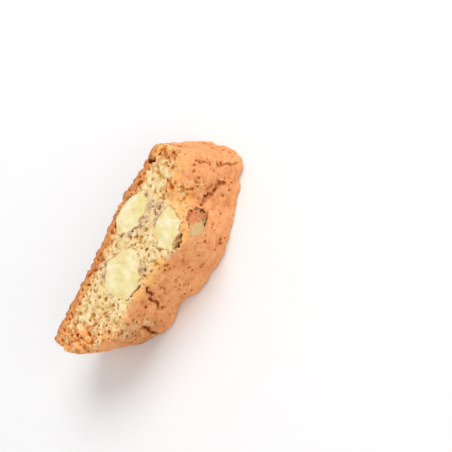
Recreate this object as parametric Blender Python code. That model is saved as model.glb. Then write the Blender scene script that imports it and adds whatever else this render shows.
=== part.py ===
"""One almond biscotto: a slice cut slantwise from a low, twice-baked loaf.

The slice lies on one cut face. X runs along the cut faces, from the pointed tip to the high end.
Y runs from the domed crust (-Y) to the loaf's flat base (+Y). Z runs up through the slice.
The loaf was cut slantwise, so the crust leans: the lower cut face lies further along +X.
"""

import math

import bmesh
import bpy
import numpy as np
from mathutils import Matrix, Vector, noise

MM = 0.001

# The slice
THICKNESS = 21.5 * MM
HALF_LENGTH = 33.6 * MM
SLANT = 8.8 * MM  # how far the lower cut face lies ahead of the upper one
BASE_DEPTH = 5.4 * MM  # from the widest level to the flat base of the loaf
BASE_SQUARENESS = 7.0  # exponent of the outline on the base side, near a box
DOME_DEPTH_UPPER = 18.0 * MM  # from the widest level to the dome, at the upper cut face
DOME_DEPTH_LOWER = 20.4 * MM
DOME_SQUARENESS = 2.35  # exponent of the outline on the dome side, near an ellipse
EDGE_ROUNDING = 0.7 * MM  # worn corner between a cut face and the crust

# Swellings and low spots of the crust: where along X they lie at the upper and at the lower cut
# face, how far they reach to each side, and how far they stand out there
SWELLINGS = {
    "hump_over_the_nuts": ((12.3, 4.0), (5.6, 6.5), (4.6, 1.8)),
    "slope_to_the_tip": ((-11.0, -14.5), (6.0, 4.6), (-1.7, -2.4)),
    "corner_by_the_tip": ((-24.0, -23.0), (3.0, 2.6), (0.0, 0.9)),
    "low_spot_before_the_cap": ((22.6, 21.0), (3.4, 5.0), (-2.4, 0.5)),
    "cap_at_the_high_end": ((33.0, 32.5), (4.5, 5.0), (2.8, 3.2)),
}
DOME_BLEND = 1.6  # how soon the swellings reach their full height away from the ends
CAP_CRACK_AT = (31.0 * MM, 27.2 * MM)  # the crack that sets the cap off, upper and lower face
CAP_CRACK_DEPTH = 0.7 * MM
CAP_CRACK_HALF_WIDTH = 0.8 * MM
BASE_BOW = 0.9 * MM  # the base is not quite flat: it stands out past the middle
BASE_BOW_AT = 10.0 * MM
BASE_BOW_REACH = 12.0 * MM
WORN_EDGE_AT = 23.5 * MM  # where the upper edge of the dome has crumbled off the most
WORN_EDGE_REACH = 6.0 * MM
WORN_EDGE_WIDTH = 3.0 * MM
WORN_EDGE_HEIGHT = 4.2 * MM

# Unevenness of the baked surface: (size of the waves, height of the waves)
CRUST_WAVES = ((11.0 * MM, 0.75 * MM), (4.2 * MM, 0.40 * MM))
CRUMB_WAVES = ((6.0 * MM, 0.35 * MM), (2.8 * MM, 0.25 * MM))
CRUMB_SINK = 0.1 * MM  # the crumb lies this much below the rim of its crust
BASE_EVENNESS = 0.35  # the loaf's base, baked on a tray, keeps this share of the waves

# Fineness of the mesh
OUTLINE_POINTS = 124
OUTLINE_SAMPLES = 1440
RING_STEP = 1.65 * MM
CUT_FACE_STEP = 2.1 * MM
TINY = 0.001 * MM
NUT_SEGMENTS = 18
NUT_RINGS = 10

# Almonds
GAP = 0.3 * MM  # between a nut and the crumb that holds it
NUT_TAPER = 0.30  # exponent of the taper from the blunt end to the point
NUT_FULLNESS = 1.1  # makes up for what the taper takes off the widest girth
NUT_KEEL = 0.28  # how much thinner an almond gets towards its sharp side
NUT_FLUSH_UPPER = THICKNESS + 0.05 * MM
NUT_FLUSH_LOWER = 0.15 * MM

# Each almond: its centre, its length, width and thickness in millimetres, then its heading along
# the cut face, how steeply it dips into the crumb, and its roll about its own length in degrees
ALMONDS = {
    "almond_by_the_base": ((7.4, 0.3, 20.5), (22.0, 13.6, 8.4), (-8, 80, 90)),
    "almond_by_the_dome": ((7.8, -14.0, 20.6), (22.0, 13.0, 8.8), (109, 52, 180)),
    "almond_at_the_centre": ((-8.9, -6.8, 20.4), (23.4, 13.4, 10.6), (58, 36, 0)),
    "almond_in_the_crust": ((13.2, -17.6, 15.2), (13.0, 7.0, 4.2), (37, 8, 69)),
    "almond_under_the_tip": ((-14.0, -6.0, 1.6), (22.0, 12.4, 8.2), (35, -50, 80)),
    "almond_under_the_middle": ((8.5, -11.5, 1.2), (22.5, 12.8, 9.0), (-20, -32, 10)),
    "almond_under_the_end": ((25.0, -4.0, 1.8), (21.0, 12.0, 8.0), (70, -66, 85)),
}

# Holes, cracks and torn places: centre and half sizes in millimetres, turn about X, Y and Z in degrees
HOLLOWS = {
    "gash_in_the_dome": ((25.1, -14.3, 10.3), (4.5, 1.5, 0.8), (0, 30, 6)),
    "torn_crust_at_the_nut": ((14.2, -19.2, 16.4), (4.2, 2.2, 4.0), (0, 0, 37)),
    "notch_at_the_base": ((21.4, 6.4, 20.8), (1.6, 1.9, 2.6), (0, 20, 0)),
    "pit_behind_the_notch": ((23.2, 3.5, 21.6), (1.2, 0.9, 1.4), (0, 0, 0)),
    "pit_at_the_crust_edge": ((-9.8, -16.4, 21.4), (1.1, 1.0, 1.2), (0, 0, 0)),
    "gap_beside_the_nut": ((5.8, -19.6, 21.2), (1.9, 0.7, 1.6), (0, 0, 48)),
    "crack_down_the_dome": ((-11.7, -16.6, 14.8), (0.7, 1.2, 5.6), (0, 15, 0)),
    "crack_by_the_tip": ((-21.0, -15.9, 8.2), (0.8, 1.3, 4.0), (0, 5, 0)),
}
HOLLOW_RAGGEDNESS = 0.22  # share of a hollow's size by which its wall wanders
HOLLOW_RAGGED_SCALE = 1.7

CRUST_BROWN = (0.78, 0.42, 0.20, 1.0)
CRUMB_ROUGHNESS = 0.85
NUT_CREAM = (0.93, 0.85, 0.62, 1.0)
NUT_ROUGHNESS = 0.6


def clear_scene():
    for obj in list(bpy.data.objects):
        bpy.data.objects.remove(obj)


def new_collection(name, parent=None):
    collection = bpy.data.collections.new(name)
    (parent or bpy.context.scene.collection).children.link(collection)
    return collection


def matte_material(name, colour, roughness):
    material = bpy.data.materials.new(name)
    material.use_nodes = True
    shader = material.node_tree.nodes["Principled BSDF"]
    shader.inputs["Base Color"].default_value = colour
    shader.inputs["Roughness"].default_value = roughness
    shader.inputs["Metallic"].default_value = 0.0
    return material


def mesh_object(name, bm, collection, material=None):
    mesh = bpy.data.meshes.new(name)
    bm.to_mesh(mesh)
    bm.free()
    obj = bpy.data.objects.new(name, mesh)
    collection.objects.link(obj)
    if material:
        mesh.materials.append(material)
    return obj


def cutter(name, bm, collection):
    """A shape that only cuts others, and isn't part of the biscotto."""
    obj = mesh_object(name, bm, collection)
    obj.hide_render = True
    obj.display_type = "WIRE"
    return obj


def place(obj, centre, turn_matrix):
    obj.location = Vector(centre) * MM
    obj.rotation_euler = turn_matrix.to_euler()
    return obj


def turned(angles, order):
    """One turn about each of the slice's axes, given in degrees, the last named being done first."""
    matrix = Matrix.Identity(3)
    for angle, axis in zip(angles, order):
        matrix = matrix @ Matrix.Rotation(math.radians(angle), 3, axis)
    return matrix


def blend(lower, upper, rise):
    """A size at a height in the slice: rise is 0 at the lower cut face and 1 at the upper one."""
    return lower + (upper - lower) * rise


def hill(distance, reach):
    """A smooth rise: 1 at its middle and close to 0 past twice its reach."""
    return math.exp(-((distance / reach) ** 2))


def waves(point, sizes):
    """Height of the uneven surface at a point, as the sum of smooth noises."""
    return sum(height * noise.noise(point / size) for size, height in sizes)


def plain_outline(rise):
    """The loaf's D-shaped section as points an equal distance apart, without its unevenness."""
    turn = np.linspace(0.0, 2.0 * math.pi, OUTLINE_SAMPLES + 1)
    across, up = np.cos(turn), np.sin(turn)
    depth = np.where(up > 0, BASE_DEPTH, blend(DOME_DEPTH_LOWER, DOME_DEPTH_UPPER, rise))
    power = 2.0 / np.where(up > 0, BASE_SQUARENESS, DOME_SQUARENESS)
    x = HALF_LENGTH * np.sign(across) * np.abs(across) ** power
    y = depth * np.sign(up) * np.abs(up) ** power
    run = np.concatenate([[0.0], np.cumsum(np.hypot(np.diff(x), np.diff(y)))])
    stops = np.linspace(0.0, run[-1], OUTLINE_POINTS + 1)[:-1]
    return np.column_stack([np.interp(stops, run, x), np.interp(stops, run, y)])


def outward(points):
    """The unit normals of a closed outline that runs anticlockwise."""
    along = np.roll(points, -1, axis=0) - np.roll(points, 1, axis=0)
    normals = np.column_stack([along[:, 1], -along[:, 0]])
    return normals / np.linalg.norm(normals, axis=1)[:, None]


def swelling(x, normal_y, rise):
    """How far the crust stands out of the plain outline."""
    if normal_y > 0.0:
        return BASE_BOW * hill(x - BASE_BOW_AT, BASE_BOW_REACH) * normal_y
    crack_upper, crack_lower = CAP_CRACK_AT
    crack_at = blend(crack_lower, crack_upper, rise)
    total = -CAP_CRACK_DEPTH * hill(x - crack_at, CAP_CRACK_HALF_WIDTH)
    for at, reach, out in SWELLINGS.values():
        middle, half_width, height = (blend(lower, upper, rise) * MM for upper, lower in (at, reach, out))
        total += height * hill(x - middle, half_width)
    return total * min(1.0, -normal_y * DOME_BLEND)


def worn_off(x, normal_y, height):
    """How much has crumbled off the upper edge of the dome."""
    climb = max(0.0, 1.0 - (THICKNESS - height) / WORN_EDGE_HEIGHT)
    return WORN_EDGE_WIDTH * climb**2 * hill(x - WORN_EDGE_AT, WORN_EDGE_REACH) * max(0.0, -normal_y)


def crust_ring(height, inset):
    """The crust's outline at one height, with its swellings, its waves and the slant."""
    rise = height / THICKNESS
    points = plain_outline(rise)
    ring = []
    for (x, y), (nx, ny) in zip(points, outward(points)):
        on_the_base = ny > 0.9
        out = swelling(x, ny, rise) - worn_off(x, ny, height) - inset
        out += waves(Vector((x, y, height)), CRUST_WAVES) * (BASE_EVENNESS if on_the_base else 1.0)
        ring.append((x + nx * out + SLANT * (0.5 - rise), y + ny * out, height))
    return ring


def ring_levels():
    """Height and inset of each ring: one rounded corner, even steps, and the other corner."""
    steps = round((THICKNESS - 2 * EDGE_ROUNDING) / RING_STEP)
    heights = np.linspace(EDGE_ROUNDING, THICKNESS - EDGE_ROUNDING, steps + 1)
    return [(0.0, EDGE_ROUNDING), *((height, 0.0) for height in heights), (THICKNESS, EDGE_ROUNDING)]


def upper_faces(bm):
    return [f for f in bm.faces if all(v.co.z > THICKNESS - TINY for v in f.verts)]


def divide_upper_face(bm):
    """Cuts the upper cut face along a square grid, so that its inside has points of its own."""
    rim = [v.co.copy() for f in upper_faces(bm) for v in f.verts]
    for axis in (0, 1):
        low, high = (pick(co[axis] for co in rim) for pick in (min, max))
        normal = Vector((axis == 0, axis == 1, 0))
        for stop in np.arange(low + CUT_FACE_STEP, high, CUT_FACE_STEP):
            faces = upper_faces(bm)
            edges = {e for f in faces for e in f.edges}
            verts = {v for f in faces for v in f.verts}
            bmesh.ops.bisect_plane(
                bm, geom=[*verts, *edges, *faces], dist=TINY, plane_co=normal * stop, plane_no=normal
            )


def roughen_upper_face(bm):
    """Raises and sinks the crumb inside the rim of the upper cut face."""
    flat = set(upper_faces(bm))
    inside = [v for v in bm.verts if all(f in flat for f in v.link_faces)]
    for vert in inside:
        vert.co.z += waves(vert.co, CRUMB_WAVES) - CRUMB_SINK


def biscuit_solid(collection, material):
    """The slice itself: rings of crust between two cut faces, lofted because no two rings match."""
    bm = bmesh.new()
    rings = [[bm.verts.new(co) for co in crust_ring(height, inset)] for height, inset in ring_levels()]
    for below, above in zip(rings, rings[1:]):
        for i in range(OUTLINE_POINTS):
            j = (i + 1) % OUTLINE_POINTS
            bm.faces.new((below[i], below[j], above[j], above[i]))
    bm.faces.new(reversed(rings[0]))
    bm.faces.new(rings[-1])
    divide_upper_face(bm)
    roughen_upper_face(bm)
    bmesh.ops.recalc_face_normals(bm, faces=bm.faces)
    return mesh_object("biscuit", bm, collection, material)


def nut_shape(length, width, thickness):
    """A whole almond about the origin: pointed at +X, sharp-sided at +Y, flattened across Z."""
    bm = bmesh.new()
    bmesh.ops.create_uvsphere(bm, u_segments=NUT_SEGMENTS, v_segments=NUT_RINGS, radius=1.0)
    bmesh.ops.rotate(bm, verts=bm.verts, matrix=Matrix.Rotation(math.pi / 2, 3, "Y"))
    for vert in bm.verts:
        x, y, z = vert.co
        girth = NUT_FULLNESS * max(0.0, (1.0 - x) / 2.0) ** NUT_TAPER
        keel = 1.0 - NUT_KEEL * y
        vert.co = (x * length / 2, y * girth * width / 2, z * girth * keel * thickness / 2)
    return bm


def space_between_the_cuts(collection):
    """What stays of each almond once the knife has passed lies inside this block."""
    bm = bmesh.new()
    bmesh.ops.create_cube(bm, size=1.0)
    height = NUT_FLUSH_UPPER - NUT_FLUSH_LOWER
    bmesh.ops.scale(bm, verts=bm.verts, vec=(4 * HALF_LENGTH, 4 * HALF_LENGTH, height))
    bmesh.ops.translate(bm, verts=bm.verts, vec=(0.0, 0.0, NUT_FLUSH_LOWER + height / 2))
    return cutter("space_between_the_cuts", bm, collection)


def almond(name, size, centre, turn, collection, material, slab, hollows):
    """A nut cut off at the cut faces, and the slightly larger pocket that it leaves in the crumb."""
    length, width, thickness = (side * MM for side in size)
    turn_matrix = turned(turn, "ZYX")
    nut = mesh_object(name, nut_shape(length, width, thickness), collection, material)
    boolean(nut, "INTERSECT").object = slab
    pocket = nut_shape(length + 2 * GAP, width + 2 * GAP, thickness + 2 * GAP)
    place(cutter(name + "_pocket", pocket, hollows), centre, turn_matrix)
    return place(nut, centre, turn_matrix)


def ragged_hollow(name, centre, half_sizes, turn, hollows):
    bm = bmesh.new()
    bmesh.ops.create_icosphere(bm, subdivisions=2, radius=1.0)
    for vert in bm.verts:
        vert.co *= 1.0 + HOLLOW_RAGGEDNESS * noise.noise(vert.co * HOLLOW_RAGGED_SCALE + Vector(centre))
    bmesh.ops.scale(bm, verts=bm.verts, vec=Vector(half_sizes) * MM)
    x_turn, y_turn, z_turn = turn
    return place(cutter(name, bm, hollows), centre, turned((z_turn, y_turn, x_turn), "ZYX"))


def boolean(obj, operation):
    modifier = obj.modifiers.new(operation.lower(), "BOOLEAN")
    modifier.operation = operation
    modifier.solver = "EXACT"
    return modifier


def centre_over_origin(empty, objects):
    """Moves the whole part so that its box stands centred on the origin."""
    bpy.context.view_layer.update()
    graph = bpy.context.evaluated_depsgraph_get()
    points = []
    for obj in objects:
        evaluated = obj.evaluated_get(graph)
        points += [evaluated.matrix_world @ vert.co for vert in evaluated.data.vertices]
    for axis in (0, 1):
        along = [point[axis] for point in points]
        empty.location[axis] = -(min(along) + max(along)) / 2


def main():
    clear_scene()
    biscotto = new_collection("biscotto")
    cutters = new_collection("cutters")
    hollows = new_collection("hollows", cutters)
    crumb_and_crust = matte_material("biscuit", CRUST_BROWN, CRUMB_ROUGHNESS)
    nut_flesh = matte_material("almond", NUT_CREAM, NUT_ROUGHNESS)

    slab = space_between_the_cuts(cutters)
    almonds = [
        almond(name, size, centre, turn, biscotto, nut_flesh, slab, hollows)
        for name, (centre, size, turn) in ALMONDS.items()
    ]
    for name, (centre, half_sizes, turn) in HOLLOWS.items():
        ragged_hollow(name, centre, half_sizes, turn, hollows)
    biscuit = biscuit_solid(biscotto, crumb_and_crust)
    cut = boolean(biscuit, "DIFFERENCE")
    cut.operand_type = "COLLECTION"
    cut.collection = hollows

    middle = bpy.data.objects.new("middle_of_the_slice", None)
    biscotto.objects.link(middle)
    for obj in [biscuit, slab, *almonds, *hollows.objects]:
        obj.parent = middle
    centre_over_origin(middle, [biscuit, *almonds])


main()
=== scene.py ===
"""The looks of an almond biscotto lying on one cut face: open crumb, rough crust, cut almonds.

The crumb and the almonds are shaped as fields, blocks of distances to their surface in millimetres,
because pores, cracks and torn edges are simple to carve there. Meshes are made from them at the end.
Places are in millimetres from the tip of the upper cut face, as the CAD model has them.
"""

import itertools
import math

import bpy
import numpy as np
import openvdb
from mathutils import Matrix, Vector


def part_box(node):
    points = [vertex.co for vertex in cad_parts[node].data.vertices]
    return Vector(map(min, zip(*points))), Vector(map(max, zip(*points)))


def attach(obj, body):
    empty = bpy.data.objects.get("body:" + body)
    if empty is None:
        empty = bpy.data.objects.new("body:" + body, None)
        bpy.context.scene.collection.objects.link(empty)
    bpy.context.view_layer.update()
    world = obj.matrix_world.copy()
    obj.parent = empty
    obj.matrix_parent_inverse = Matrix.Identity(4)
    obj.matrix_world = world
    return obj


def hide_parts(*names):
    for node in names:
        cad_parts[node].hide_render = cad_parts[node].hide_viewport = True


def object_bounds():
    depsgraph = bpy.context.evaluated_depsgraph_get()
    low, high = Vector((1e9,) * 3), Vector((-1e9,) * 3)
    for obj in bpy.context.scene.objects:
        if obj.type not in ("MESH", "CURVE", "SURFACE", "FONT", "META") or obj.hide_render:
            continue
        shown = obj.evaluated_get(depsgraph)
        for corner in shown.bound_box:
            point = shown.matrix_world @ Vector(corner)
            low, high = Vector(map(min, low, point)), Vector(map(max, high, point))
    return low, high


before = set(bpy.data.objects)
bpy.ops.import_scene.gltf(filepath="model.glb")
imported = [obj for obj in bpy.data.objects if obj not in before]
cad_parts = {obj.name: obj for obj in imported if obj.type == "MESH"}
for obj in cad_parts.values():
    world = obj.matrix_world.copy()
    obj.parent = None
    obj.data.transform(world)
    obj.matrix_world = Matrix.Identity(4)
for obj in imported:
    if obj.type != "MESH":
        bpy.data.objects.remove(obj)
cad_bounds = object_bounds()
scene = bpy.context.scene

MM = 0.001
BOX = np.array(cad_bounds) / MM
LOW, HIGH = (np.array(corner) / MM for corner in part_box("biscuit"))
TIP = np.array([LOW[0] + 0.9, HIGH[1] - 2.9, 0.0])  # the tip of the upper cut face, seen from above
THICKNESS = 21.5
SLANT = 8.8  # the lower cut face lies this much further along +X
SEED = 9338

CRUMB_STEP = 0.3  # between the points of the crumb's field
NUT_STEP = 0.22
CRUMB_MERGING = 0.12  # how far the mesher may join small faces where the crust is nearly flat
REACH = 4.2  # distances are known this far to each side of a surface

LOWER_NUTS = ("almond_under_the_tip", "almond_under_the_middle", "almond_under_the_end")
CRUST_NUT = "almond_in_the_crust"

# Almonds that the upper cut goes through: the cut's outline along X and Y, and the heading of its bands
NUT_OUTLINES = {
    "almond_by_the_base": [
        (51.3, -3.6), (49.6, -1.4), (47.2, 0.3), (44.4, 0.8), (41.4, 1.0), (39.0, 0.0), (37.4, -1.4), (36.9, -3.4),
        (38.6, -5.6), (40.8, -7.2), (43.4, -8.0), (46.4, -7.5), (49.0, -7.0), (50.8, -5.4),
    ],
    "almond_by_the_dome": [
        (51.4, -15.0), (50.4, -18.2), (49.3, -20.4), (47.6, -21.7), (44.6, -22.5), (42.4, -22.3), (40.2, -21.2),
        (38.8, -19.4), (38.6, -17.0), (40.6, -16.5), (41.2, -15.0), (42.6, -13.3), (45.4, -12.8), (49.0, -13.1),
        (50.6, -13.8),
    ],
    "almond_at_the_centre": [
        (35.5, -9.6), (35.2, -12.0), (33.6, -14.2), (31.2, -15.6), (29.3, -17.4), (26.6, -17.8), (23.6, -17.1),
        (21.6, -16.6), (20.7, -14.4), (20.5, -11.6), (20.7, -8.4), (22.6, -6.2), (25.6, -4.6), (28.4, -4.0),
        (31.2, -5.2), (33.8, -7.2),
    ],
}
CHIP_OUTLINE = [(48.5, -9.3), (48.0, -10.9), (46.0, -12.0), (43.8, -11.9), (44.0, -11.0), (46.0, -9.9)]
NUT_BANDS = {"almond_by_the_base": 80.0, "almond_by_the_dome": 20.0, "almond_at_the_centre": 27.0}
NUT_DEPTH = 8.0  # how far a cut almond reaches into the crumb
CHIP_DEPTH = 2.0


def smoothstep(low, high, value):
    share = np.clip((value - low) / (high - low), 0.0, 1.0)
    return share * share * (3.0 - 2.0 * share)


class Block:
    """A box of evenly spaced points. A field is one number for each of them."""

    def __init__(self, low, high, step, margin=1.5):
        self.step = step
        self.first = np.floor((np.asarray(low) - margin) / step).astype(int)
        count = np.ceil((np.asarray(high) + margin) / step).astype(int) - self.first
        self.shape = tuple(int(c) for c in -(-count // 8) * 8)
        self.first_index = tuple(int(i) for i in self.first)
        self.transform = openvdb.createLinearTransform(voxelSize=step)
        lines = [(np.arange(n) + start) * step for n, start in zip(self.shape, self.first)]
        self.x, self.y, self.z = np.meshgrid(*lines, indexing="ij", sparse=True)

    def distance_to(self, names, reach=REACH):
        """Distance to the surface of these CAD nodes, below zero inside them."""
        points, triangles = joined_triangles(names)
        return self.distance(points, reach, triangles=triangles)

    def measured(self, field, reach=REACH):
        """The true distance to the surface where a field is zero, below zero inside it."""
        points, _, quads = self.surface(field)
        return self.distance(points, reach, quads=quads)

    def surface(self, field, merging=0.0):
        grid = openvdb.FloatGrid(REACH)
        grid.copyFromArray(np.ascontiguousarray(field, np.float32), ijk=self.first_index)
        grid.transform = self.transform
        return grid.convertToPolygons(0.0, merging)

    def distance(self, points, reach, **faces):
        grid = openvdb.FloatGrid.createLevelSetFromPolygons(
            points, transform=self.transform, halfWidth=reach / self.step, **faces
        )
        field = np.empty(self.shape, np.float32)
        grid.copyToArray(field, ijk=self.first_index)
        return field

    def filtered(self, field, keep):
        """The field with each of its waves kept as far as keep says, by the waves' count per mm."""
        spectrum = np.fft.rfftn(field)
        counts = [np.fft.fftfreq(n, self.step) for n in self.shape[:2]]
        counts.append(np.fft.rfftfreq(self.shape[2], self.step))
        kx, ky, kz = np.meshgrid(*counts, indexing="ij", sparse=True)
        spectrum *= keep(np.sqrt(kx**2 + ky**2 + kz**2))
        return np.fft.irfftn(spectrum, s=self.shape).astype(np.float32)

    def blurred(self, field, radius):
        return self.filtered(field, lambda k: np.exp(-2.0 * (math.pi * radius * k) ** 2))

    def noise(self, size, seed, spread=0.45):
        """Seeded lumps of about one size, with mean 0 and deviation 1."""
        grains = np.random.default_rng(SEED + seed).standard_normal(self.shape, dtype=np.float32)
        lumps = self.filtered(grains, lambda k: np.exp(-(((k * size - 1.0) / spread) ** 2)))
        return lumps / lumps.std()

    def grains(self, size, seed):
        """Cells round seeded points: the distance to the nearest point, in sizes, and a random shade for each cell."""
        random = np.random.default_rng(SEED + seed)
        lines = [line / size for line in (self.x, self.y, self.z)]
        cells = [np.floor(line).astype(int) for line in lines]
        first = [cell.min() - 1 for cell in cells]
        count = [cell.max() - start + 2 for cell, start in zip(cells, first)]
        jitter = random.random((3, *count), dtype=np.float32)
        shade = random.random(count, dtype=np.float32)
        nearest = np.full(self.shape, np.inf, np.float32)
        shades = np.zeros(self.shape, np.float32)
        for shift in itertools.product((-1, 0, 1), repeat=3):
            at = tuple(cell - start + step for cell, start, step in zip(cells, first, shift))
            square = sum((line - cell - step - offsets[at]) ** 2
                         for line, cell, step, offsets in zip(lines, cells, shift, jitter))
            closer = square < nearest
            nearest = np.where(closer, square, nearest)
            shades = np.where(closer, shade[at], shades)
        return np.sqrt(nearest), shades

    def sample(self, field, points):
        """The field's value at any points, in millimetres."""
        place = np.clip(points / self.step - self.first, 0, np.array(self.shape) - 1.001)
        cell = np.floor(place).astype(int)
        share = place - cell
        total = np.zeros(len(points))
        for corner in itertools.product((0, 1), repeat=3):
            weight = np.prod(np.where(corner, share, 1.0 - share), axis=1)
            total += weight * field[tuple((cell + corner).T)]
        return total

    def mesh(self, name, field, merging=0.0):
        """The surface where the field is zero, as a mesh object with one closed body."""
        points, faces = largest_body(*self.surface(field, merging))
        points = np.clip(points, BOX[0], BOX[1])
        mesh = bpy.data.meshes.new(name)
        mesh.from_pydata((points * MM).tolist(), [], faces)
        mesh.validate()
        mesh.shade_smooth()
        obj = bpy.data.objects.new(name, mesh)
        bpy.context.scene.collection.objects.link(obj)
        return obj, points


def joined_triangles(names):
    points, triangles, start = [], [], 0
    for name in names:
        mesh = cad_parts[name].data
        mesh.calc_loop_triangles()
        points += [np.array(v.co) / MM for v in mesh.vertices]
        triangles += [[start + i for i in t.vertices] for t in mesh.loop_triangles]
        start += len(mesh.vertices)
    return np.array(points, np.float32), np.array(triangles, np.uint32)


def largest_body(points, *faces):
    """Drops loose crumbs: only the points and faces that hang together with most others stay."""
    label = np.arange(len(points))
    faces = [corners.astype(int) for corners in faces]
    edges = np.concatenate([np.stack((corners[:, i - 1], corners[:, i]), 1)
                            for corners in faces for i in range(corners.shape[1])])
    while True:
        lowest = np.minimum(label[edges[:, 0]], label[edges[:, 1]])
        renewed = label.copy()
        np.minimum.at(renewed, edges[:, 0], lowest)
        np.minimum.at(renewed, edges[:, 1], lowest)
        renewed = renewed[renewed]
        if np.array_equal(renewed, label):
            break
        label = renewed
    kept = label == np.bincount(label).argmax()
    number = np.cumsum(kept) - 1
    outward = [number[corners[kept[corners[:, 0]], ::-1]].tolist() for corners in faces]
    return points[kept], sum(outward, [])


def attribute(obj, name, values):
    layer = obj.data.attributes.new(name, "FLOAT", "POINT")
    layer.data.foreach_set("value", np.ascontiguousarray(values, np.float32))


# ---------------------------------------------------------------------------------------- almonds


def closed_curve(corners, per_side=8):
    """A smooth closed line through the corners."""
    points = []
    count = len(corners)
    for i in range(count):
        p0, p1, p2, p3 = (np.array(corners[(i + j) % count], float) for j in (-1, 0, 1, 2))
        for t in np.linspace(0.0, 1.0, per_side, endpoint=False):
            points.append(
                0.5 * (2 * p1 + (p2 - p0) * t + (2 * p0 - 5 * p1 + 4 * p2 - p3) * t**2
                       + (3 * p1 - p0 - 3 * p2 + p3) * t**3)
            )
    return np.array(points)


def distance_to_outline(x, y, outline):
    """Distance in the plane to a closed line, below zero inside it."""
    px, py = np.broadcast_arrays(x, y)
    nearest = np.full(px.shape, np.inf)
    inside = np.zeros(px.shape, bool)
    for (ax, ay), (bx, by) in zip(outline, np.roll(outline, -1, axis=0)):
        along = np.clip(((px - ax) * (bx - ax) + (py - ay) * (by - ay)) / ((bx - ax) ** 2 + (by - ay) ** 2), 0, 1)
        nearest = np.minimum(nearest, np.hypot(px - ax - along * (bx - ax), py - ay - along * (by - ay)))
        if ay != by:
            crosses = (ay > py) != (by > py)
            inside ^= crosses & (px < (bx - ax) * (py - ay) / (by - ay) + ax)
    return np.where(inside, -nearest, nearest)


def nut_field(block, outline, deep=NUT_DEPTH):
    """An almond with a cut face: its outline there, drawn in and rounded off with depth."""
    edge = distance_to_outline(block.x, block.y, closed_curve(outline) + TIP[:2])
    depth = THICKNESS - block.z
    return np.maximum(edge + 0.04 * depth**2, depth - deep).astype(np.float32)


def cut_nut(name, outline, deep, heading, seed):
    """A cut almond's mesh, with the fine relief that the knife leaves on its flesh."""
    corners = np.array(outline) + TIP[:2]
    block = Block([*corners.min(0), THICKNESS - deep], [*corners.max(0), THICKNESS + 0.3], NUT_STEP, margin=0.9)
    lumps, grain = block.noise(3.2, seed), block.noise(1.1, seed + 1)
    side = nut_field(block, outline, deep) + 0.10 * lumps
    middle = corners.mean(0)
    across = (block.x - middle[0]) * math.cos(heading) + (block.y - middle[1]) * math.sin(heading)
    bands = np.sin(across * 3.1 + 1.2 * lumps)
    stripe = 1.5 * np.exp(-(((across - 2.2 + 0.5 * lumps) / 1.5) ** 2))
    crown = 0.22 * smoothstep(0.0, -3.0, side)
    top = block.z - (THICKNESS - 0.22) - crown - 0.03 * bands - 0.08 * lumps - 0.02 * grain
    obj, points = block.mesh(name, smooth_max(side, top, 0.35))
    rim = block.sample(side, points)
    skin_line = smoothstep(-0.75, -0.25, rim) * smoothstep(0.0, 0.7, block.sample(lumps, points))
    attribute(obj, "rim", smoothstep(-1.6, 0.0, rim))
    attribute(obj, "band", block.sample(stripe + 0.5 * bands + 0.3 * grain, points))
    attribute(obj, "skin", np.maximum(0.8 * skin_line, smoothstep(0.6, 1.2, THICKNESS - points[:, 2])))
    return obj


def smooth_max(a, b, radius):
    """The larger of two fields, with the corner between them rounded off."""
    mix = np.clip(0.5 + 0.5 * (a - b) / radius, 0.0, 1.0)
    return b + (a - b) * mix + radius * mix * (1.0 - mix)


def whole_nut(name, seed, skin_side):
    """An almond as the CAD model has it, with an uneven surface and skin on one side."""
    low, high = (np.array(corner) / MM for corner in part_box(name))
    block = Block(low, high, NUT_STEP, margin=0.9)
    lumps, grain = block.noise(3.0, seed), block.noise(0.9, seed + 1)
    field = block.blurred(block.distance_to([name], 1.6), 0.25)
    field = field + 0.12 + 0.10 * lumps + 0.02 * grain
    field = np.maximum(field, 0.2 - block.z)
    obj, points = block.mesh(name + "_fine", field)
    along = (points - (low + high) / 2) @ np.array(skin_side)
    attribute(obj, "rim", np.zeros(len(points)))
    attribute(obj, "band", block.sample(lumps, points))
    attribute(obj, "skin", smoothstep(-0.4, 0.5, along + 0.6 * block.sample(lumps, points)))
    return obj


# ------------------------------------------------------------------------------- crumb and crust

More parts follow.
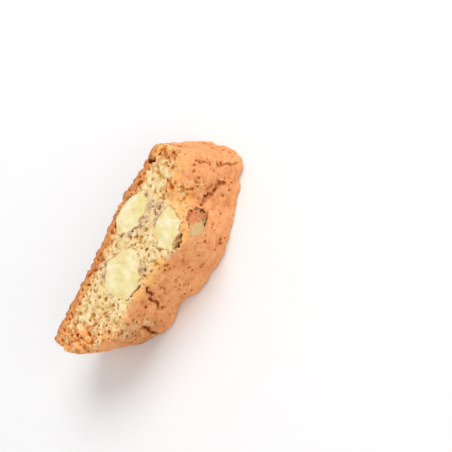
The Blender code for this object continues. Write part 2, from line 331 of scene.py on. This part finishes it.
# Cracks: points along them, radius across, depth, and the way in
INTO_DOME = (0.0, 1.0, -0.15)
INTO_HIGH_END = (-0.55, 0.8, -0.2)
INTO_FACE = (0.0, 0.0, -1.0)
CRACKS = {
    "gash": ([(57.6, -18.4, 12.2), (59.4, -18.0, 10.6), (61.7, -17.8, 9.0), (64.4, -17.4, 7.2)], 0.70, 1.1, INTO_DOME),
    "cap": ([(66.9, -13.2, 17.6), (66.6, -13.9, 16.4), (68.0, -14.3, 14.4)], 0.42, 0.7, INTO_HIGH_END),
    "cap_end": ([(68.4, -15.0, 11.0), (68.8, -15.4, 9.4), (70.4, -15.9, 5.6), (71.2, -16.1, 3.4)], 0.38, 0.6, INTO_HIGH_END),
    "down_the_dome": (
        [(27.3, -20.2, 19.7), (26.4, -20.2, 18.4), (25.0, -19.9, 15.0), (24.3, -19.8, 11.7), (23.6, -19.9, 9.2),
         (24.7, -20.2, 7.8)],
        0.50, 1.0, INTO_DOME,
    ),
    "by_the_tip": ([(16.1, -19.6, 11.6), (15.9, -19.5, 9.3), (15.4, -18.1, 4.4)], 0.6, 1.2, INTO_DOME),
    "beside_the_dome_nut": ([(45.2, -22.9, 21.4), (43.4, -23.5, 21.4), (41.4, -23.1, 21.4)], 0.50, 2.4, INTO_FACE),
    "under_the_base_nut": ([(38.2, -0.4, 21.4), (37.0, -2.2, 21.4), (36.2, -5.0, 21.4)], 0.34, 1.6, INTO_FACE),
    "skin_of_the_base_nut": ([(36.8, -3.4, 21.4), (38.2, -5.4, 21.4), (39.6, -7.0, 21.4)], 0.34, 1.6, INTO_FACE),
    "beside_the_centre_nut": ([(26.8, -18.4, 21.4), (24.8, -17.9, 21.4), (22.4, -17.6, 21.4)], 0.27, 1.2, INTO_FACE),
    "notch": ([(60.4, -0.3, 21.4), (60.9, -1.4, 21.3)], 0.85, 1.3, INTO_FACE),
}

# Spots: middle and radius
PITTED = [
    ((63.6, -10.0, 21.4), 1.8), ((60.8, -11.2, 21.4), 1.8), ((58.4, -13.4, 21.2), 1.8),
    ((33.0, -21.9, 18.7), 2.0), ((37.8, -23.2, 8.9), 2.4), ((32.0, -22.3, 8.2), 2.2), ((25.3, -20.4, 7.8), 2.0),
    ((27.6, -20.0, 21.0), 1.6), ((46.5, -25.2, 11.5), 1.4), ((66.4, -13.4, 17.6), 2.6), ((69.0, -15.2, 9.6), 2.2),
    ((52.4, -18.6, 19.4), 1.8), ((50.9, -20.4, 20.1), 1.8), ((49.0, -21.9, 21.0), 1.6), ((47.0, -22.7, 21.2), 1.6),
    ((42.6, -24.7, 20.8), 1.4), ((63.0, -15.0, 17.8), 2.6), ((60.8, -14.8, 19.6), 2.4), ((57.6, -14.6, 20.2), 2.4), ((59.0, -16.8, 17.0), 2.2),
    ((61.2, -17.2, 14.2), 1.8), ((64.8, -10.8, 21.2), 2.2), ((66.0, -12.4, 19.8), 1.8),
]
TORN = [
    ((63.5, -3.5, 21.4), 3.6), ((66.0, -3.0, 20.4), 3.4), ((65.2, -8.2, 21.4), 3.4), ((56.0, -12.5, 21.2), 2.8),
    ((58.0, -15.2, 20.0), 2.4), ((60.0, -16.6, 16.6), 2.2), ((52.3, -18.4, 19.8), 2.6), ((49.6, -21.6, 20.8), 2.2),
    ((13.2, -19.3, 15.8), 4.2), ((12.6, -16.8, 6.0), 5.0), ((16.2, -19.6, 10.6), 3.6),
]
CRUSTED = [
    ((64.4, -10.8, 21.4), 2.4), ((62.2, -11.8, 21.4), 2.4), ((60.4, -13.4, 21.4), 2.4), ((59.2, -12.6, 21.4), 1.6),
]
TOASTED = [
    ((64.0, -8.6, 21.4), 2.6), ((61.2, -9.8, 21.4), 2.2), ((58.2, -11.4, 21.4), 2.0),
    ((0.0, 0.0, 20.0), 9.0), ((4.0, -9.0, 19.0), 8.0), ((65.0, -2.5, 21.0), 5.0), ((66.0, -8.0, 21.0), 4.2),
    ((56.4, -12.6, 21.0), 3.2), ((59.0, -16.0, 18.0), 3.4), ((12.8, -17.6, 9.0), 8.0), ((9.0, -17.0, 20.0), 4.0),
]
# Spots of extra brown: the first three are painted shade on the underside by the tip, the last browns the base's rim by
# the notch.
SHADED_AND_BAKED = [((13.0, -19.0, 14.5), 4.6), ((11.5, -16.0, 4.0), 6.0), ((16.5, -19.6, 8.0), 4.0), ((60.6, 0.4, 21.0), 2.4)]
GOLDEN = [
    ((53.6, -15.0, 20.6), 3.4), ((51.6, -18.8, 20.0), 3.2), ((48.6, -22.8, 20.4), 3.0), ((45.0, -24.0, 20.6), 2.6),
    ((29.6, -20.2, 20.4), 3.2), ((25.2, -20.2, 20.6), 2.8), ((34.5, -21.4, 21.0), 3.0), ((55.5, -16.5, 17.5), 2.6),
]
MAUVE = [
    ((50.2, -5.6, 21.4), 1.3), ((49.0, -8.2, 21.4), 1.5), ((49.8, -11.6, 21.4), 1.5), ((47.6, -12.3, 21.4), 1.3),
    ((45.6, -12.8, 21.4), 1.2), ((44.6, -9.0, 21.4), 1.5), ((41.8, -8.2, 21.4), 1.5), ((31.4, -16.6, 21.4), 1.6),
    ((27.2, -3.0, 21.4), 1.3), ((24.0, -4.8, 21.4), 1.2), ((20.6, -10.4, 21.4), 1.2), ((38.4, -6.0, 21.4), 1.3),
]


# The hole in the crust over the almond there: its middle, its way out, and its outline to the right and up,
# as seen from outside with the high end up
WINDOW_DEPTH = 4.0
WINDOW_MIDDLE = (50.9, -21.9, 15.4)
WINDOW_OUT = (0.62, -0.75, 0.22)
WINDOW_UP = (0.888, 0.375, 0.264)
WINDOW_OUTLINE = [
    (-3.0, 3.0), (0.4, 3.9), (3.2, 3.7), (5.1, 2.3), (4.6, 0.4), (3.1, -1.6), (0.8, -3.5), (-3.4, -4.5), (-5.4, -3.7),
    (-4.4, -0.6),
]


def through_window(block):
    """Distances in the window's plane: to its outline, to the right of its middle and up from it."""
    out = Vector(WINDOW_OUT).normalized()
    right = Vector(WINDOW_UP).cross(out).normalized()
    up = out.cross(right)
    x, y, z = (line - corner for line, corner in zip((block.x, block.y, block.z), np.array(WINDOW_MIDDLE) + TIP))
    across, along = (x * way.x + y * way.y + z * way.z for way in (right, up))
    near = np.maximum(np.abs(across), np.abs(along)) < 8.0
    near &= np.abs(x * out.x + y * out.y + z * out.z) < 8.0
    edge = np.full(block.shape, REACH, np.float32)
    edge[near] = distance_to_outline(across[near], along[near], closed_curve(WINDOW_OUTLINE))
    return edge, across, along


def spots(block, places):
    """1 at the middle of each of these places, fading out over its radius."""
    total = np.zeros(block.shape, np.float32)
    for (x, y, z), radius in places:
        square = (block.x - TIP[0] - x) ** 2 + (block.y - TIP[1] - y) ** 2 + (block.z - z) ** 2
        total = np.maximum(total, np.exp(-square / radius**2))
    return total


def carve(block, field, crack_shade, plain, points, radius, depth, way_in, wander, rough):
    """Takes a ragged crack out of a field: it follows the points, and narrows with depth under the plain surface."""
    inward = np.array(way_in) / np.linalg.norm(way_in)
    corners = np.array(points) + TIP
    reach = depth + 1.5
    start = np.floor((corners.min(0) - reach) / block.step).astype(int) - block.first
    stop = np.ceil((corners.max(0) + reach) / block.step).astype(int) - block.first
    part = tuple(slice(max(0, a), min(n, b)) for a, b, n in zip(start, stop, block.shape))
    x, y, z = block.x[part[0]], block.y[:, part[1]], block.z[:, :, part[2]]
    sway = 0.14 / radius
    x, y, z = (line + sway * np.roll(wander, 40 * axis, axis)[part] for axis, line in enumerate((x, y, z)))
    nearest = np.full([s.stop - s.start for s in part], np.inf, np.float32)
    for a, b in zip(corners, [*corners[1:], corners[-1]]):
        steps = max(1, int(np.linalg.norm(b - a) / 0.4))
        for share in np.arange(steps) / steps:
            cx, cy, cz = a + (b - a) * share
            along = (x - cx) * inward[0] + (y - cy) * inward[1] + (z - cz) * inward[2]
            square = (x - cx) ** 2 + (y - cy) ** 2 + (z - cz) ** 2 - along**2
            nearest = np.minimum(nearest, np.where(np.abs(along) < reach, square, np.inf))
    below = np.maximum(0.0, -plain[part])
    hole = radius * (1.0 + 0.20 * rough[part]) - np.sqrt(np.maximum(nearest, 0.0) + (below * radius / depth) ** 2)
    field[part] = np.maximum(field[part], hole)
    # Painted shade: marks how far into the crack a point lies, so that the crack is coloured dark brown inside.
    crack_shade[part] = np.maximum(crack_shade[part], smoothstep(-0.3, 0.25, hole))


def depth_under_crust(block, field):
    """Distance in from the loaf's skin alone: near a cut face it is read further in, along the slant."""
    clear = 3.2
    level = np.clip(block.z.ravel(), clear, THICKNESS - clear)
    depth = np.empty_like(field)
    for k, (z, inner) in enumerate(zip(block.z.ravel(), level)):
        source = int(round(inner / block.step)) - block.first[2]
        shift = int(round(SLANT * (z - inner) / THICKNESS / block.step))
        depth[:, :, k] = -np.roll(field[:, :, source], -shift, axis=0)
    return depth


def biscuit():
    block = Block(LOW, HIGH, CRUMB_STEP)
    nuts = block.distance_to([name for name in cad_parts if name.startswith("almond")])
    slab = np.maximum(block.z - THICKNESS, -block.z)
    filled = np.minimum(block.distance_to(["biscuit"]), np.maximum(nuts - 0.5, slab))
    plain = block.blurred(filled, 0.55)
    under_crust = depth_under_crust(block, block.measured(filled))
    baked = smoothstep(0.35, 0.85, -np.gradient(under_crust, block.step, axis=1))

    grain, lumps, swell = block.noise(0.95, 1), block.noise(1.9, 2), block.noise(4.6, 3)
    pores = block.noise(1.6, 4)
    rough = 0.55 * block.noise(2.8, 5, spread=0.9) + 0.65 * block.noise(1.35, 6, spread=0.6) + 0.50 * grain
    rough /= rough.std()
    torn, pitted = spots(block, TORN), spots(block, PITTED)
    from_grain, shade = block.grains(1.25, 7)
    crusted = spots(block, CRUSTED) * (1.0 + 0.3 * lumps + 0.3 * swell)
    into_crumb = under_crust + 0.28 * rough + 1.9 * torn + 0.45 * baked - 4.0 * crusted
    crumb = smoothstep(0.75, 1.45, into_crumb)

    crumb_relief = 0.55 * from_grain**2 - 0.20 + 0.17 * rough + 0.10 * swell
    crumb_relief += 0.38 * np.maximum(0.0, rough - 0.8) + 0.35 * np.maximum(0.0, rough - 1.7)
    crust_relief = (0.07 + 0.10 * baked) * from_grain**2 + (0.06 + 0.05 * baked) * rough + 0.14 * swell
    crust_relief += 0.80 * np.maximum(0.0, pores - 2.9 + 2.2 * pitted)
    field = block.blurred(plain + 0.12 + crumb * crumb_relief + (1 - crumb) * crust_relief, 0.15)

    crack_shade = np.zeros(block.shape, np.float32)
    for points, radius, depth, way_in in CRACKS.values():
        carve(block, field, crack_shade, plain, points, radius, depth, way_in, swell, lumps)

    pockets = nut_field(block, CHIP_OUTLINE, CHIP_DEPTH)
    for outline in NUT_OUTLINES.values():
        pockets = np.minimum(pockets, nut_field(block, outline))
    lower = block.distance_to(LOWER_NUTS)
    above_cut = int(np.searchsorted(block.z.ravel(), 1.0))
    lower[:, :, :above_cut] = lower[:, :, above_cut, None]  # the lower face leaves its almonds open
    pockets = np.minimum(pockets, lower)
    gap = -0.14 + 0.07 * rough + 0.28 * smoothstep(0.3, 1.5, swell)
    field = np.maximum(field, gap - pockets)
    window, across, along = through_window(block)
    pocket_floor = plain + WINDOW_DEPTH
    open_side = smoothstep(0.5, 4.0, across + 0.6 * along)
    window_gap = -0.05 + 0.60 * open_side
    field = np.maximum(field, np.minimum(window_gap + 0.15 * lumps - window, pocket_floor))
    field = np.maximum(field, np.maximum(-block.z, block.z - HIGH[2]))
    for axis, values in enumerate((block.x, block.y)):
        field = np.maximum(field, np.maximum(LOW[axis] - values, values - HIGH[axis]))

    obj, points = block.mesh("crumb_and_crust", field, CRUMB_MERGING)
    sample = block.sample
    attribute(obj, "crumb", sample(crumb, points))
    attribute(obj, "sunk", np.clip(-sample(plain, points) - 0.12, -0.5, 3.0))
    attribute(obj, "hollow", -sample(block.blurred(field, 0.6), points))
    inward, by_the_base = sample(under_crust, points), sample(baked, points)
    edge = smoothstep(3.1, 0.7, inward) * (0.40 + 0.70 * by_the_base)
    from_base = HIGH[1] - points[:, 1]
    edge = np.maximum(edge, smoothstep(6.8, 3.0, from_base))
    attribute(obj, "toast", np.clip(np.maximum(edge, sample(spots(block, TOASTED), points)), 0, 1))
    from_cut = np.minimum(points[:, 2], THICKNESS - points[:, 2])
    shoulder = 0.7 * np.exp(-np.maximum(0.0, from_cut) / 1.3)
    shoulder *= 1.0 - np.maximum(sample(crumb, points), by_the_base)
    attribute(obj, "golden", np.maximum(shoulder, sample(spots(block, GOLDEN), points)))
    by_the_base = np.maximum(by_the_base * smoothstep(3.0, 0.9, inward), 0.7 * smoothstep(4.8, 2.6, from_base))
    # The baked share: the base's own browning, plus painted shade on the underside by the tip.
    attribute(obj, "baked", np.maximum(by_the_base, 0.8 * sample(spots(block, SHADED_AND_BAKED), points)))
    attribute(obj, "shade", sample(shade, points))
    attribute(obj, "outer", smoothstep(0.8, 0.2, inward))
    attribute(obj, "crack_shade", sample(crack_shade, points))
    attribute(obj, "mauve", sample(spots(block, MAUVE), points))

    skinned = smoothstep(-0.3, 0.3, along - 0.27 * across + 0.1 + 0.3 * lumps)
    recess = 0.25 + skinned * (0.30 + 0.25 * rough) + (1 - skinned) * (0.30 + 0.12 * (along + 1.5)) + 0.03 * grain
    side = window - 0.30 + 0.35 * open_side + 0.05 * lumps
    nut_in_crust = np.maximum(smooth_max(side, plain + recess, 0.3), -plain - WINDOW_DEPTH + 0.3)
    nut, points = block.mesh(CRUST_NUT + "_fine", nut_in_crust)
    attribute(nut, "rim", np.zeros(len(points)))
    attribute(nut, "band", sample(lumps, points))
    attribute(nut, "tan", np.ones(len(points)))
    attribute(nut, "skin", sample(skinned, points))
    return obj, nut


# -------------------------------------------------------------------------------------- materials


def srgb(red, green, blue):
    """A colour as the eye grades it, 0 to 255, turned into the linear shares that shaders take."""
    shares = [c / 255.0 for c in (red, green, blue)]
    return (*(c / 12.92 if c <= 0.04045 else ((c + 0.055) / 1.055) ** 2.4 for c in shares), 1.0)


class Shader:
    """Short words for building a material's nodes."""

    def __init__(self, name, roughness):
        self.material = bpy.data.materials.new(name)
        self.material.use_nodes = True
        self.nodes = self.material.node_tree.nodes
        self.principled = self.nodes["Principled BSDF"]
        self.principled.inputs["Roughness"].default_value = roughness
        self.place = self.nodes.new("ShaderNodeTexCoord").outputs["Object"]

    def link(self, source, target):
        self.material.node_tree.links.new(source, target)

    def put(self, value, socket):
        if isinstance(value, bpy.types.NodeSocket):
            self.link(value, socket)
        else:
            socket.default_value = value

    def attribute(self, name):
        node = self.nodes.new("ShaderNodeAttribute")
        node.attribute_name = name
        return node.outputs["Fac"]

    def noise(self, size, detail=4.0, roughness=0.55, distortion=0.0):
        """Noise between 0 and 1 with lumps of about this size in millimetres."""
        node = self.nodes.new("ShaderNodeTexNoise")
        self.link(self.place, node.inputs["Vector"])
        node.inputs["Scale"].default_value = 1.0 / (size * MM)
        node.inputs["Detail"].default_value = detail
        node.inputs["Roughness"].default_value = roughness
        node.inputs["Distortion"].default_value = distortion
        return node.outputs["Fac"]

    def math(self, operation, a, b=0.0, c=0.0):
        node = self.nodes.new("ShaderNodeMath")
        node.operation = operation
        for value, socket in zip((a, b, c), node.inputs):
            self.put(value, socket)
        return node.outputs[0]

    def ramp(self, value, low, high, to_low=0.0, to_high=1.0):
        """The value stretched so that low to high becomes to_low to to_high, smoothly and no further."""
        node = self.nodes.new("ShaderNodeMapRange")
        node.interpolation_type = "SMOOTHSTEP"
        for given, socket in zip((value, low, high, to_low, to_high), node.inputs):
            self.put(given, socket)
        return node.outputs[0]

    def mix(self, share, a, b, blend="MIX"):
        node = self.nodes.new("ShaderNodeMix")
        node.data_type = "RGBA"
        node.blend_type = blend
        self.put(share, node.inputs["Factor"])
        self.put(a, node.inputs[6])
        self.put(b, node.inputs[7])
        return node.outputs[2]

    def bump(self, height, distance, before=None):
        node = self.nodes.new("ShaderNodeBump")
        node.inputs["Distance"].default_value = distance * MM
        self.link(height, node.inputs["Height"])
        if before:
            self.link(before, node.inputs["Normal"])
        return node.outputs["Normal"]


def crumb_and_crust_material():
    s = Shader("crumb_and_crust", 0.9)
    crumb, sunk, hollow = s.attribute("crumb"), s.attribute("sunk"), s.attribute("hollow")
    fine, mid, patches = s.noise(0.6), s.noise(2.0), s.noise(6.5, detail=2.0)
    shade = s.math("MULTIPLY_ADD", s.math("SUBTRACT", fine, 0.5), 2.6, s.attribute("shade"))

    pale = s.mix(s.ramp(shade, 0.15, 0.75), srgb(249, 227, 178), srgb(238, 207, 149))
    pale = s.mix(s.ramp(shade, 0.75, 1.05, 0.0, 0.8), pale, srgb(212, 172, 112))
    pale = s.mix(s.ramp(mid, 0.48, 0.66, 0.0, 0.5), pale, srgb(236, 196, 128))
    pale = s.mix(s.ramp(s.attribute("golden"), 0.25, 0.9, 0.0, 0.75), pale, srgb(244, 180, 104))
    toasted = s.mix(s.ramp(shade, 0.2, 0.9), srgb(250, 182, 108), srgb(202, 118, 58))
    toast = s.math("MULTIPLY_ADD", s.math("SUBTRACT", mid, 0.5), 1.6, s.attribute("toast"))
    flesh = s.mix(s.ramp(toast, 0.15, 1.0), pale, toasted)
    mauve = s.math("MULTIPLY", s.attribute("mauve"), s.ramp(fine, 0.30, 0.50))
    flesh = s.mix(s.math("MULTIPLY", mauve, 0.85), flesh, srgb(184, 142, 130))
    # Baked brown on the crumb: the base's own browning, and painted shade under the tip.
    burnt_and_shaded = s.math("MULTIPLY", s.attribute("baked"), s.ramp(mid, 0.30, 0.55, 0.5, 0.95))
    flesh = s.mix(burnt_and_shaded, flesh, srgb(204, 136, 84))

    brown = s.mix(s.ramp(shade, 0.1, 0.9), srgb(248, 176, 118), srgb(236, 156, 98))
    brown = s.mix(s.ramp(fine, 0.55, 0.72, 0.0, 0.35), brown, srgb(214, 130, 76))
    brown = s.mix(s.ramp(patches, 0.5, 0.7, 0.0, 0.3), brown, srgb(250, 188, 134))
    golden = s.math("MULTIPLY_ADD", s.math("SUBTRACT", mid, 0.5), 1.4, s.attribute("golden"))
    brown = s.mix(s.ramp(golden, 0.3, 0.9, 0.0, 0.85), brown, srgb(248, 182, 104))
    baked = s.mix(s.ramp(fine, 0.42, 0.68), srgb(214, 136, 82), srgb(180, 104, 56))
    baked = s.mix(s.ramp(patches, 0.42, 0.62, 0.0, 0.5), baked, srgb(196, 118, 68))
    baked = s.mix(s.math("MULTIPLY", s.attribute("outer"), s.ramp(mid, 0.35, 0.6, 0.4, 0.9)), baked, srgb(176, 100, 54))
    # Baked brown on the crust: the base's own browning, and painted shade under the tip.
    brown = s.mix(s.attribute("baked"), brown, baked)

    colour = s.mix(crumb, brown, flesh)
    shadow = s.mix(s.math("MULTIPLY", crumb, s.ramp(toast, 0.9, 0.1)), srgb(208, 150, 96), srgb(214, 180, 126))
    colour = s.mix(s.ramp(hollow, -0.06, 0.26), colour, shadow, "MULTIPLY")
    # Painted shade: darker brown deep in the pits and pores, the darker the further below the smoothed surface.
    deep = s.mix(crumb, srgb(158, 88, 46), srgb(172, 116, 62))
    colour = s.mix(s.ramp(sunk, 0.55, 1.6, 0.0, 0.9), colour, deep)
    # Painted shade: the carved cracks and gaps are coloured dark brown inside.
    colour = s.mix(s.math("MULTIPLY", s.attribute("crack_shade"), 0.9), colour, srgb(172, 90, 42))
    s.link(colour, s.principled.inputs["Base Color"])

    grains = s.bump(s.noise(0.34, detail=3.0, roughness=0.6), 0.10)
    lumps = s.bump(s.noise(0.9, detail=3.0), 0.24, grains)
    s.link(lumps, s.principled.inputs["Normal"])
    s.principled.inputs["Specular IOR Level"].default_value = 0.2
    return s.material


def almond_material():
    s = Shader("almond", 0.6)
    rim, band, skin = s.attribute("rim"), s.attribute("band"), s.attribute("skin")
    mid, patches = s.noise(1.6), s.noise(4.5, detail=2.0)
    cream = s.mix(s.ramp(patches, 0.35, 0.65), srgb(234, 215, 148), srgb(243, 229, 180))
    cream = s.mix(s.ramp(band, 0.3, 2.0, 0.0, 0.5), cream, srgb(250, 242, 214))
    cream = s.mix(s.ramp(mid, 0.52, 0.75, 0.0, 0.3), cream, srgb(232, 208, 142))
    cream = s.mix(s.math("MULTIPLY", rim, 0.35), cream, srgb(236, 204, 140))
    tan = s.attribute("tan")
    cream = s.mix(s.math("MULTIPLY", tan, 0.85), cream, srgb(202, 162, 106))
    brown = s.mix(s.ramp(mid, 0.4, 0.6), srgb(168, 108, 78), srgb(214, 150, 106))
    brown = s.mix(tan, brown, srgb(214, 138, 86))
    s.link(s.mix(skin, cream, brown), s.principled.inputs["Base Color"])
    s.link(s.bump(s.noise(0.5, detail=3.0), 0.05), s.principled.inputs["Normal"])
    s.principled.inputs["Specular IOR Level"].default_value = 0.3
    s.principled.inputs["Subsurface Weight"].default_value = 0.12
    s.principled.inputs["Subsurface Radius"].default_value = (1.0, 0.7, 0.4)
    s.principled.inputs["Subsurface Scale"].default_value = 1.2 * MM
    return s.material


# ---------------------------------------------------------------------------------- floor and light


def floor():
    bpy.ops.mesh.primitive_plane_add(size=4.0)
    obj = bpy.context.object
    obj.name = "floor"
    s = Shader("floor", 0.9)
    s.principled.inputs["Base Color"].default_value = (0.93, 0.93, 0.93, 1.0)
    obj.data.materials.append(s.material)


def picture_axes(elevation, roll):
    """Right, up and back of a camera that looks along +Y, down by the elevation, turned by the roll."""
    back = Vector((0.0, -math.cos(elevation), math.sin(elevation)))
    level = Vector((1.0, 0.0, 0.0))
    steep = back.cross(level)
    right = level * math.cos(roll) - steep * math.sin(roll)
    return right, back.cross(right), back


ELEVATION = math.radians(54.83)
ROLL = math.radians(62.66)
DISTANCE = 0.4522
AIM = (0.0198, 0.0080)  # the camera aims this far to the right of the middle and above it


def camera():
    low, high = (Vector(corner) for corner in cad_bounds)
    middle = (low + high) / 2
    right, up, back = picture_axes(ELEVATION, ROLL)
    data = bpy.data.cameras.new("camera")
    data.sensor_width = 36.0
    data.lens = 121.86
    data.clip_start = 0.01
    obj = bpy.data.objects.new("camera", data)
    place = middle + right * AIM[0] + up * AIM[1] + back * DISTANCE
    turn = Matrix((right, up, back)).transposed().to_4x4()
    obj.matrix_world = Matrix.Translation(place) @ turn
    scene.collection.objects.link(obj)
    scene.camera = obj
    return middle, right, up, back


def area_light(name, middle, direction, distance, size, power, colour=(1.0, 1.0, 1.0)):
    data = bpy.data.lights.new(name, "AREA")
    data.shape = "DISK"
    data.size = size
    data.energy = power
    data.color = colour
    obj = bpy.data.objects.new(name, data)
    way = direction.normalized()
    obj.location = middle + way * distance
    obj.rotation_euler = way.to_track_quat("Z", "Y").to_euler()
    scene.collection.objects.link(obj)


def lights(middle, right, up, back):
    area_light("key", middle, up * 0.80 + back * 0.60 - right * 0.20, 0.9, 0.7, 4.65)
    area_light("fill", middle, back * 0.8 + right * 0.30 - up * 0.05, 1.0, 0.8, 1.7)
    world = bpy.data.worlds.new("studio")
    scene.world = world
    world.use_nodes = True
    world.node_tree.nodes["Background"].inputs["Color"].default_value = (1.0, 1.0, 1.0, 1.0)
    world.node_tree.nodes["Background"].inputs["Strength"].default_value = 0.60


def main():
    scene.view_settings.view_transform = "Standard"
    crumb, crust_nut = biscuit()
    crumb.data.materials.append(crumb_and_crust_material())
    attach(crumb, "root")
    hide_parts("biscuit")
    nut_material = almond_material()
    nuts = [
        (name, cut_nut(name + "_cut", outline, NUT_DEPTH, math.radians(NUT_BANDS[name]), 20 + 2 * i))
        for i, (name, outline) in enumerate(NUT_OUTLINES.items())
    ]
    nuts += [(name, whole_nut(name, 40 + 2 * i, (0, 0, 0.4))) for i, name in enumerate(LOWER_NUTS)]
    nuts.append((CRUST_NUT, crust_nut))
    chip = cut_nut("almond_chip", CHIP_OUTLINE, CHIP_DEPTH, 0.0, 70)
    chip.data.materials.append(nut_material)
    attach(chip, "root")
    for name, nut in nuts:
        nut.data.materials.append(nut_material)
        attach(nut, "root")
        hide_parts(name)
    floor()
    lights(*camera())


main()
